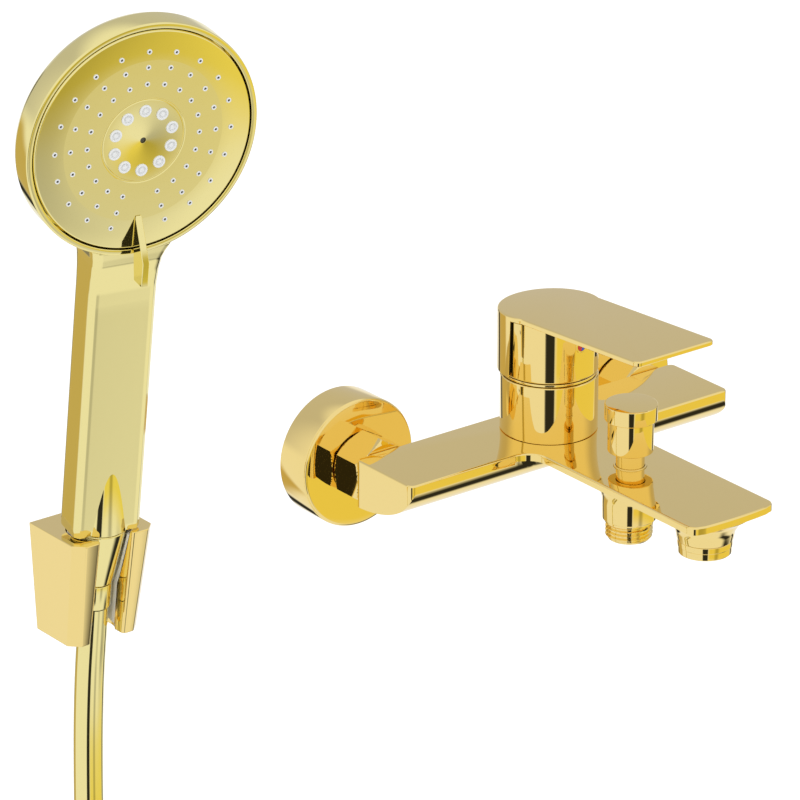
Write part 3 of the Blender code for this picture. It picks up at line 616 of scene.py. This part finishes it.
def body_plate(finishes):
    """The T: a level top, a rounded top edge, sides down to the underside, and the underside."""
    outline, inner = body_outline()
    normal = outline_normals(outline)
    rows = []
    edge = 0.9 * MM
    for angle in np.radians(np.linspace(0, 90, 7)):
        ring = outline - normal * edge * (1 - math.sin(angle))
        rows.append(np.column_stack([ring, np.full(len(ring), PLATE_TOP - edge * (1 - math.cos(angle)))]))
    low = underside(outline[:, 1])
    top = PLATE_TOP - edge
    for share in (0.25, 0.5, 0.75, 1.0):
        rows.append(np.column_stack([outline, top + (low - top) * share]))
    for t in (0.002, 0.006, 0.015, 0.03, 0.06, 0.1, 0.16, 0.24, 0.34, 0.46, 0.6, 0.75, 0.88, 1.0):
        ring = outline + (inner - outline) * t
        rows.append(np.column_stack([ring, underside(ring[:, 1])]))
    points = np.array(rows)
    count = points.shape[1]
    index = np.arange(points.shape[0] * count).reshape(-1, count)
    low, high = index[:-1], index[1:]
    quads = np.stack([low, np.roll(low, -1, 1), np.roll(high, -1, 1), high], -1).reshape(-1, 4)
    faces = [index[0].tolist(), *quads.tolist()]
    casting = solid(
        "body_casting", points.reshape(-1, 3), faces, finishes["gold"], "wall_fittings", ("mixer_body",), 28
    )
    bored(casting, *diverter_bores(finishes))


def diverter_bores(finishes):
    """The diverter's chamber and the narrower passage for its bush, a little larger than what they hold."""
    chamber = [(0, 9.0, 0), (9.75, 9.0, 0), (9.75, -14, 0), (0, -14, 0)]
    passage = [(0, 13, 0), (7.4, 13, 0), (7.4, 4, 0), (0, 4, 0)]
    return (
        turned("chamber_tool", chamber, DIVERTER, finishes["gold"], None, count=90),
        turned("passage_tool", passage, DIVERTER, finishes["gold"], None, count=100),
    )


def body_details(finishes):
    """Outlet flares, the duct between them, the column and the two spigots."""
    gold = finishes["gold"]
    shower = [
        (9.8, 9.1, 0), (23.0, 9.1, 0), (23.0, 8.42, 0), (21.5, 8.25, 3), (16, 6, 8), (12.2, -1, 14),
        (12, -12.5, 0.4), (9.8, -12.5, 0.2),
    ]
    turned("body_shower_boss", shower, DIVERTER, gold, "wall_fittings", closed=True)
    spout = [
        (0, 9.2, 0), (20.9, 9.2, 0), (20.9, 8.2, 0.5), (16.4, 5.2, 9), (13.2, 0.2, 8), (12.3, -4.6, 0.4),
        (11.1, -4.6, 0.2), (11.1, 4, 0), (0, 4, 0),
    ]
    turned("body_spout_boss", spout, AERATOR, gold, "wall_fittings")
    angle = np.radians(np.linspace(0, 180, 33))
    under = np.stack([12 * np.cos(angle), 8.6 - 13 * np.sin(angle)], -1)
    section = np.vstack([(12, 9.6), under, (-12, 9.6)]) * MM
    depth = np.linspace(AERATOR_Y, -62 * MM, 20)
    points = np.stack([
        np.broadcast_to(section[:, 0], (20, len(section))),
        np.broadcast_to(depth[:, None], (20, len(section))),
        np.broadcast_to(section[:, 1], (20, len(section))),
    ], -1)
    duct = surface("body_duct", points, gold, "wall_fittings", capped=True)
    bored(duct, *diverter_bores(finishes))
    column = [
        (17.6, 9, 0), (17.6, 38.6, 0.2), (21.9, 38.6, 0.6), (21.9, 12.5, 0.1), (21.3, 12.35, 0),
        (21.3, 9, 0),
    ]
    turned("body_column", column, COLUMN, gold, "wall_fittings", closed=True, count=192)
    ring = [(18.2, 40.1, 0.2), (21.35, 40.1, 0.3), (21.35, 38.9, 0.3), (18.2, 38.9, 0.2)]
    turned("trim_ring", ring, COLUMN, gold, "wall_fittings", ("column_ring",), closed=True, count=192)
    for side, word in ((-1, "left"), (1, "right")):
        neck = [
            (6, 40, 0), (9.1, 40, 0), (9.1, 30.7, 0.3), (10.9, 30.7, 0.3), (10.9, 28.8, 0.3), (6, 28.8, 0.2),
        ]
        turned(f"body_spigot_{word}", neck, outward(side * INLET_X), gold, "wall_fittings", closed=True)


def rosettes_and_nuts(finishes):
    gold = finishes["gold"]
    for side, word in ((-1, "left"), (1, "right")):
        place = outward(side * INLET_X)
        cup = [
            (12, 18.5, 0.4), (30, 18.5, 1.4), (30, 0, 0.3), (28.5, 0, 0.3), (28.5, 17, 0.6), (12, 17, 0.2)
        ]
        turned(f"wall_rosette_{word}", cup, place, gold, "wall_fittings", (f"rosette_{word}",), True, 192)
        hexagon_nut(f"hex_nut_{word}", place, gold, f"union_nut_{word}")


def hexagon_nut(name, place, gold, node):
    """A hexagon whose radius is the lesser of the flats' and a cone at each end, round a stepped bore."""
    height = np.concatenate([
        np.linspace(19.3, 21.8, 10), np.linspace(22.2, 33.1, 8), np.linspace(33.5, 36, 10)
    ])
    angle = np.linspace(0, math.tau, 240, endpoint=False)
    flat = 14.25 / np.cos((angle + math.pi / 6) % (math.pi / 3) - math.pi / 6)
    cone = 14.3 + np.minimum(height - 19.3, 36 - height) * 1.5
    outer = np.minimum(flat[None], cone[:, None])
    bore = np.array([(9.5, 36), (9.5, 31), (11.4, 31), (11.4, 19.3)])
    radius = np.vstack([outer, np.repeat(bore[:, :1], 240, 1)]) * MM
    along = np.concatenate([height, bore[:, 1]])[:, None] * MM
    local = np.stack([radius * np.cos(angle), radius * np.sin(angle), along + 0 * angle], -1)
    surface(name, placed(local, place), gold, "wall_fittings", (node,), wrap=True, sharp=20)


# Hub and lever


def lever_plane(y):
    """Height of the lever's top: it rises 3.5 degrees towards the front."""
    return LEVER_TOP + (COLUMN_Y - y) * math.tan(LEVER_TILT)


def hub_sleeve(finishes):
    """A tube whose top follows the lever in front and falls away behind the column's axis."""
    angle = np.linspace(0, math.tau, 256, endpoint=False)
    level = LEVER_TOP - 3.0 * MM
    bottom = 40.5 * MM
    outer, inner = COLUMN_RADIUS, 20.4 * MM
    rows = []
    bend, edge = np.radians(np.linspace(0, 90, 6)), 0.9 * MM
    bottom_edge = [(inner, 0)]
    bottom_edge += [(outer - edge * (1 - math.sin(a)), edge * (1 - math.cos(a))) for a in bend]
    for radius, rise in bottom_edge:
        rows.append((radius, np.full(256, bottom + rise)))
    for radius in (outer, inner):
        y = radius * np.sin(angle)
        slope = np.where(y < 0, math.tan(LEVER_TILT), math.tan(HUB_RELIEF))
        rows.append((radius, level - y * slope))
    points = np.array([
        np.stack([radius * np.cos(angle), radius * np.sin(angle), height], -1) for radius, height in rows
    ])
    points = placed(points, COLUMN)
    surface("hub_sleeve", points, finishes["gold"], "temperature_turret", ("hub_cover",), wrap=True)


def index_button(finishes):
    """A domed plug with a red half and a blue half inside a gold rim."""
    place = outward(0, 57 * MM)
    front = (COLUMN_RADIUS - COLUMN_Y) / MM + 0.35
    rim = [
        (0, 79.6, 0), (2.2, 79.6, 0), (2.2, front, 0.1), (3, front, 0.25), (3, 79.4, 0), (0, 79.4, 0),
    ]
    turned("index_rim", rim, place, finishes["gold"], "temperature_turret", ("index_plug",), count=48)
    for word, start in (("blue", -90), ("red", 90)):
        angle = np.radians(np.linspace(start + 2, start + 178, 24))
        radius = np.linspace(0, 2.15, 6)[:, None] * MM
        dome = 81.35 * MM - (radius / (2.15 * MM)) ** 2 * 0.25 * MM
        face = np.stack([radius * np.cos(angle), radius * np.sin(angle), dome + 0 * angle], -1)
        back = face[::-1] * np.array((1, 1, 0)) + np.array((0, 0, 79.8 * MM))
        closed = np.vstack([face, back])
        surface(f"index_{word}", placed(closed, place), finishes[word], "temperature_turret")


def lever_outline():
    """Straight sides, a round back on the column's axis, small front corners: anticlockwise."""
    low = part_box("lever_handle")[0]
    front = low.y - COLUMN_Y
    half, back, corner = 22 * MM, 23.2 * MM, 3 * MM
    turn = math.degrees(math.acos(half / back))
    right = np.vstack([
        line((0, front), (half - corner, front), 8),
        arc(half - corner, front + corner, corner, -90, 0, 8),
        line((half, front + corner + MM), (half, -back * math.sin(math.radians(turn))), 20),
        arc(0, 0, back, -turn, -2, 10),
        arc(0, 0, back, -0.2, 90, 50),
    ])
    return np.vstack([right, right[-2:0:-1] * np.array((-1, 1))])


def lever_paddle(finishes):
    """The lever: a tilted plate with rounded edges, whose back half runs down as a thin skirt."""
    outline = lever_outline()
    normal = outline_normals(outline)
    top = lever_plane(outline[:, 1] + COLUMN_Y)
    under = top - 2.4 * MM
    behind = outline[:, 1] > -0.3 * MM
    low = np.where(behind, 40.5 * MM, under)
    edge = 0.8 * MM
    rows = []
    for angle in np.radians(np.linspace(0, 90, 7)):
        ring = outline - normal * edge * (1 - math.sin(angle))
        drop = edge * (1 - math.cos(angle))
        rows.append(np.column_stack([ring, lever_plane(ring[:, 1] + COLUMN_Y) - drop]))
    for share in (0.5, 1.0):
        rows.append(np.column_stack([outline, top - edge + (low + 0.3 * MM - top + edge) * share]))
    rows.append(np.column_stack([outline - normal * 0.3 * MM, low]))
    inset = outline - normal * 0.95 * MM
    rows.append(np.column_stack([inset, low]))
    rows.append(np.column_stack([inset, lever_plane(inset[:, 1] + COLUMN_Y) - 2.4 * MM]))
    points = placed(np.array(rows), COLUMN)
    surface("lever_paddle", points, finishes["gold"], "lever", ("lever_handle",), capped=True, sharp=28)
    boss = [(0, 67, 0), (7, 67, 0), (7, 48, 0.5), (4.9, 48, 0.3), (4.9, 63, 0), (0, 63, 0)]
    turned("lever_boss", boss, COLUMN, finishes["gold"], "lever", count=64)


# Diverter and outlets


def diverter_pieces(finishes):
    gold = finishes["gold"]
    cap = [(0, 41.5, 0), (11.7, 41.5, 0.5), (11.7, 34.2, 0.5), (0, 34.2, 0)]
    turned("knob_cap", cap, DIVERTER, gold, "diverter", ("diverter_knob_cap",), count=160)
    body = [
        (0, 34.1, 0), (10.15, 34.1, 0.2), (10.15, 19.3, 0.5), (6.6, 19.3, 0.3), (6.6, 30, 0), (0, 30, 0),
    ]
    turned("knob_sleeve", body, DIVERTER, gold, "diverter", ("diverter_knob_body",), count=160)
    stem = [(0, 29.6, 0), (6.35, 29.6, 0.2), (6.35, -4.8, 0.3), (0, -4.8, 0)]
    turned("knob_stem", stem, DIVERTER, gold, "diverter", ("diverter_stem",), count=128)
    bush = [(6.5, 12.5, 0.1), (7.3, 12.5, 0.2), (7.3, 5, 0.1), (6.5, 5, 0.1)]
    turned("stem_bush", bush, DIVERTER, gold, "wall_fittings", ("diverter_bush",), closed=True)


def threaded_outlet(finishes):
    """The shower outlet's thread: its radius follows a rounded ridge that climbs one pitch a turn."""
    angle = np.linspace(0, math.tau, 160, endpoint=False)
    height = np.linspace(-14, -21.6, 120)[:, None] * MM
    phase = (height / THREAD_PITCH - angle / math.tau) % 1
    ridge = np.clip(1.25 - np.abs(phase - 0.5) * 3.2, 0, 1)
    fade = step(height, -21.5 * MM, -20.6 * MM) * (1 - step(height, -14.9 * MM, -14.2 * MM))
    thread = 9.45 * MM + 1.03 * MM * ridge * fade
    head = np.array([
        (7.2, -11), (9.5, -11), (9.5, -12.8), (10.8, -12.8), (10.9, -12.95), (10.9, -13.9), (10.7, -14),
    ])
    tail = np.array([(9.2, -22), (7.4, -22), (7.2, -21.8)])
    radius = np.vstack([
        np.repeat(head[:, :1], 160, 1) * MM, thread, np.repeat(tail[:, :1], 160, 1) * MM
    ])
    along = np.concatenate([head[:, 1] * MM, height[:, 0], tail[:, 1] * MM])[:, None]
    local = np.stack([radius * np.cos(angle), radius * np.sin(angle), along + 0 * angle], -1)
    surface(
        "outlet_thread", placed(local, DIVERTER), finishes["gold"], "wall_fittings",
        ("shower_outlet_nipple",), wrap=True,
    )


def aerator_pieces(finishes):
    shell = [
        (9.5, 0.5, 0.1), (10.9, 0.5, 0.2), (10.9, -4.75, 0), (12, -4.75, 0.3), (12, -7.4, 0.3),
        (11.7, -7.7, 0), (11.7, -10.9, 0.5), (8.9, -10.9, 0.3), (8.9, -10.2, 0.1), (9.5, -10.2, 0),
    ]
    gold = finishes["gold"]
    turned("aerator_shell", shell, AERATOR, gold, "wall_fittings", ("aerator_housing",), True, 160)
    insert = [
        (0, -1, 0), (9.2, -1, 0.3), (9.2, -9.9, 0.3), (8.2, -9.9, 0.1), (8.0, -9.1, 0.1), (0, -9.1, 0),
    ]
    turned("aerator_screen", insert, AERATOR, finishes["white"], "wall_fittings", ("aerator_insert",))
    bars = []
    for i in range(-5, 6):
        reach = math.sqrt(8.0**2 - (1.4 * i) ** 2) - 0.1
        low, high = 1.4 * i - 0.2, 1.4 * i + 0.2
        bars += [((low, -reach), (high, reach)), ((-reach, low), (reach, high))]
    points, faces = [], []
    for k, ((x0, y0), (x1, y1)) in enumerate(bars):
        low, high = (-9.35, -9.6)[k % 2], (-9.05, -9.3)[k % 2]
        points += [(x, y, z) for z in (low, high) for x, y in ((x0, y0), (x1, y0), (x1, y1), (x0, y1))]
        base = 8 * k
        faces += [[base + i for i in face] for face in (
            (0, 3, 2, 1), (4, 5, 6, 7), (0, 1, 5, 4), (1, 2, 6, 5), (2, 3, 7, 6), (3, 0, 4, 7)
        )]
    solid("aerator_grid", placed(np.array(points) * MM, AERATOR), faces, finishes["white"], "wall_fittings")


# Holder


def holder_fork(finishes):
    """The forked holder: at each height a C in plan, of a chamfered outside, two prong faces and
    the round of the seat, whose radius narrows downwards as a cone and then stays."""
    box_low, box_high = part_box("bracket_fork")
    x = holder_top[0]
    slope = holder_top - lean_axis * (holder_top[2] - box_low.z) / lean_axis[2]
    rows = []
    for z in np.linspace(box_low.z, box_high.z, 12):
        t = (z - box_low.z) / (box_high.z - box_low.z)
        half, depth = (18 + 2.5 * t) * MM, (27.5 + 9.5 * t) * MM
        axis_y = slope[1] + (holder_top[1] - slope[1]) * t
        below = (holder_top[2] - z) / lean_axis[2] / MM
        seat = max(14.2 - 4.3 * below / 27.3, 9.9) * MM
        chamfer, lead, slot = 4.5 * MM, 2.2 * MM, 8.1 * MM
        open_angle = math.degrees(math.asin(slot / seat))
        prong = -depth - axis_y
        outside = np.array([
            (half, 0 - axis_y), (half, prong + chamfer), (half - chamfer, prong), (slot + lead, prong),
        ])
        inside = arc(0, 0, seat, -90 + open_angle, 270 - open_angle, 33)
        right_edge = arc(slot + lead, prong + lead, lead, 270, 180, 6)[1:]
        left_edge = arc(-slot - lead, prong + lead, lead, 0, -90, 6)[:-1]
        loop = np.vstack([outside, right_edge, inside, left_edge, outside[::-1] * np.array((-1, 1))])
        rows.append(np.column_stack([loop[:, 0] + x, loop[:, 1] + axis_y, np.full(len(loop), z)]))
    fork = surface(
        "holder_fork", np.array(rows), finishes["gold"], "wall_fittings", ("bracket_fork",), capped=True
    )
    bevel = fork.modifiers.new("edges", "BEVEL")
    bevel.width, bevel.segments, bevel.limit_method = 0.5 * MM, 3, "ANGLE"
    bevel.angle_limit = math.radians(40)
    bevel.harden_normals = True


# Hand shower


def handle_rows():
    """Sections of the handle up its axis: half width, front, back, corner radius."""
    stations = np.array([
        (2, 15.3, 9.1, 9.1), (2.6, 15.5, 9.25, 9.25), (30, 15.5, 9.25, 9.25), (60, 15.5, 9.25, 9.25),
        (90, 15.5, 9.25, 9.25), (112, 15.5, 9.25, 9.25), (120, 15.5, 9.5, 9.2), (127, 15.7, 10.3, 9.1),
        (133, 16.2, 11.6, 8.9), (137, 17.0, 13.2, 8.6), (141, 18.2, 15.0, 8.3), (142, 18.5, 15.0, 8.2),
        (142.3, 18.6, 7.6, 8.2), (150, 21.5, 7.6, 7.4), (162, 22, 7.0, 5.0),
    ]) * MM
    t = np.linspace(0, len(stations) - 1, 90)
    low = np.clip(t.astype(int), 0, len(stations) - 2)
    share = (t - low)[:, None]
    return stations[low] * (1 - share) + stations[low + 1] * share


def handset_handle(finishes):
    """A box section with 2 mm front chamfers and a rounder back, carried up the handle. Above, its
    front swells out to the rim and its sides spread under the head."""
    rows = []
    for height, half, front, back in handle_rows():
        chamfer, soft, before, nick = 2 * MM, 5 * MM, 0.3 * MM, 0.1 * MM
        flat_end = (half - chamfer - before, -front)
        slant_start = (half - chamfer + nick, -front + nick)
        slant_end = (half - nick, -front + chamfer - nick)
        side_start = (half, -front + chamfer + before)
        right = np.vstack([
            line((0, -front), flat_end, 8),
            line(flat_end, slant_start, 2),
            line(slant_start, slant_end, 4),
            line(slant_end, side_start, 2),
            line(side_start, (half, back - soft), 5),
            arc(half - soft, back - soft, soft, 0, 90, 9),
        ])
        loop = np.vstack([right, [(0, back)], right[:0:-1] * np.array((-1, 1))])
        rows.append(np.column_stack([loop, np.full(len(loop), height)]))
    points = placed(np.array(rows), HANDSET)
    surface("shower_handle", points, finishes["plated"], "handset", capped=True, sharp=25)
    cone = [(0, 2, 0), (12.25, 2, 0.3), (9.0, 33.5, 0), (0, 33.5, 0)]
    turned("handle_collar", cone, HANDSET, finishes["plated"], "handset")


def handset_head(finishes):
    """The head's shell: a domed back, a 12 mm rim and an inner lip round the face."""
    shell = [
        (0, -8.7, 0), (16, -8.3, 10), (34, -5.6, 20), (46, -1.4, 10), (51.2, 2.6, 2.5), (52.3, 5.4, 1.2),
        (52.3, 16.25, 0.8), (49.75, 16.25, 0.4), (49.6, 8, 0), (0, 8, 0),
    ]
    turned("shower_head", shell, HEAD, finishes["plated"], "handset", ("handset_shell",), count=256)


def face_disc(finishes):
    """The face: nearly flat, with a fine groove round the middle nozzles and a small centre hole."""
    disc = [
        (0, 14.2, 0), (1.2, 14.2, 0), (1.3, 16.2, 0.1), (18.0, 16.32, 0), (18.3, 16.0, 0.15),
        (18.9, 16.0, 0.15), (19.2, 16.34, 0), (36, 16.42, 8), (48.6, 16.3, 0.7), (49.15, 15.6, 0),
        (49.15, 12.9, 0.3), (0, 12.9, 0),
    ]
    turned("face_disc", disc, HEAD, finishes["plated"], "selector", ("face_plate",), count=256)


def nozzle_field(name, places, corners, material, nodes=()):
    """The same small turned shape at every place on the face, as one piece."""
    profile = rounded(corners, steps=3)
    angle = np.linspace(0, math.tau, 16, endpoint=False)
    radius, height = profile[:, :1], profile[:, 1:]
    one = np.stack([radius * np.cos(angle), radius * np.sin(angle), height + 0 * angle], -1)
    rows = len(profile)
    index = np.arange(rows * 16).reshape(rows, 16)
    low, high = index[:-1], index[1:]
    quads = np.stack([low, np.roll(low, -1, 1), np.roll(high, -1, 1), high], -1).reshape(-1, 4)
    shift = np.column_stack([places, np.zeros(len(places))])
    points = (one.reshape(1, -1, 3) + shift[:, None]).reshape(-1, 3)
    faces = (quads[None] + (np.arange(len(places)) * rows * 16)[:, None, None]).reshape(-1, 4)
    return solid(name, placed(points, HEAD), faces.tolist(), material, "selector", nodes, 40)


def nozzles(finishes):
    """Twenty rows of three fine nozzles, less the one under the tab, and ten large ones inside."""
    turn = np.radians(-90 + 18 * np.arange(1, 20))
    ring = np.array((25.5, 33, 40)) * MM
    small = np.stack([
        (ring[:, None] * np.cos(turn)).ravel(), (ring[:, None] * np.sin(turn)).ravel()
    ], -1)
    turn = np.radians(-90 + 36 * np.arange(10))
    large = 13.4 * MM * np.stack([np.cos(turn), np.sin(turn)], -1)
    tip = [
        (0, 13.2, 0), (1.15, 13.2, 0), (1.15, 16.85, 0.25), (0.62, 16.85, 0.1), (0.55, 16.3, 0), (0, 16.3, 0),
    ]
    nozzle_field("fine_nozzles", small, tip, finishes["nozzles"], ("nozzle_mat",))
    # Painted shade: a thin near-black disc at the bottom of each fine nozzle's tip stands for the dark inside of
    # the hole.
    bore = [(0, 16.2, 0), (0.56, 16.2, 0), (0.56, 16.42, 0), (0, 16.42, 0)]
    nozzle_field("fine_nozzle_bores", small, bore, finishes["hole"])
    cup = [
        (0, 13.2, 0), (2.75, 13.2, 0), (2.75, 16.9, 0.35), (1.9, 16.9, 0.2), (1.7, 16.3, 0.1),
        (1.1, 16.3, 0.1), (1.0, 16.7, 0.1), (0, 16.7, 0),
    ]
    nozzle_field("wide_nozzles", large, cup, finishes["nozzles"])
    # Painted shade: a near-black disc set in the centre hole stands for the dark inside of the hole.
    port = [(0, 14.3, 0), (1.15, 14.3, 0), (1.15, 15.4, 0), (0, 15.4, 0)]
    nozzle_field("centre_port", np.zeros((1, 2)), port, finishes["hole"])


def selector_fin(finishes):
    """The tab that turns the face: a wedge along the line to the handle, with a squared end."""
    edge = np.array([(-34, 16.6), (-52, 26.3), (-62.8, 26.3), (-62.8, 19), (-54, 17.5), (-48, 16.7)]) * MM
    rows = np.array([
        np.column_stack([np.full(len(edge), half * MM), edge[:, 0], edge[:, 1]]) for half in (-1.5, 1.5)
    ])
    rows = placed(rows, HEAD)
    fin = surface("face_tab", rows, finishes["plated"], "selector", ("selector_tab",), capped=True)
    bevel = fin.modifiers.new("edges", "BEVEL")
    bevel.width, bevel.segments = 0.4 * MM, 3
    bevel.harden_normals = True


def hose_top(finishes):
    """The cone nut that sits in the holder."""
    nut = [
        (8.6, 1.7, 0.1), (12.25, 1.7, 0.5), (7.6, -25.3, 0.4), (6.4, -25.3, 0.2), (6.4, -14.6, 0),
        (8.6, -14.6, 0),
    ]
    turned("cone_fitting", nut, HANDSET, finishes["plated"], "handset", ("cone_nut",), closed=True)


def dress_kept_nodes(finishes):
    """Every CAD node that stays gets the finish of its slot."""
    by_slot = {
        "polished_gold": "gold", "plated_plastic": "plated", "raw_brass": "brass", "steel": "steel",
        "white_plastic": "white", "nozzle_rubber": "nozzles", "black_rubber": "rubber",
        "ceramic": "ceramic",
    }
    for entry in frame["record"]["subparts"]:
        node = frame["nodes"][entry["node"]]
        node.data.materials.clear()
        node.data.materials.append(finishes[by_slot[entry["material_slot"]]])


def main():
    camera()
    finishes = build_finishes()
    dress_kept_nodes(finishes)
    hose(finishes)
    glow_dome()
    floor_and_lights()
    body_plate(finishes)
    body_details(finishes)
    rosettes_and_nuts(finishes)
    hub_sleeve(finishes)
    index_button(finishes)
    lever_paddle(finishes)
    diverter_pieces(finishes)
    threaded_outlet(finishes)
    aerator_pieces(finishes)
    holder_fork(finishes)
    handset_handle(finishes)
    handset_head(finishes)
    face_disc(finishes)
    nozzles(finishes)
    selector_fin(finishes)
    hose_top(finishes)


main()
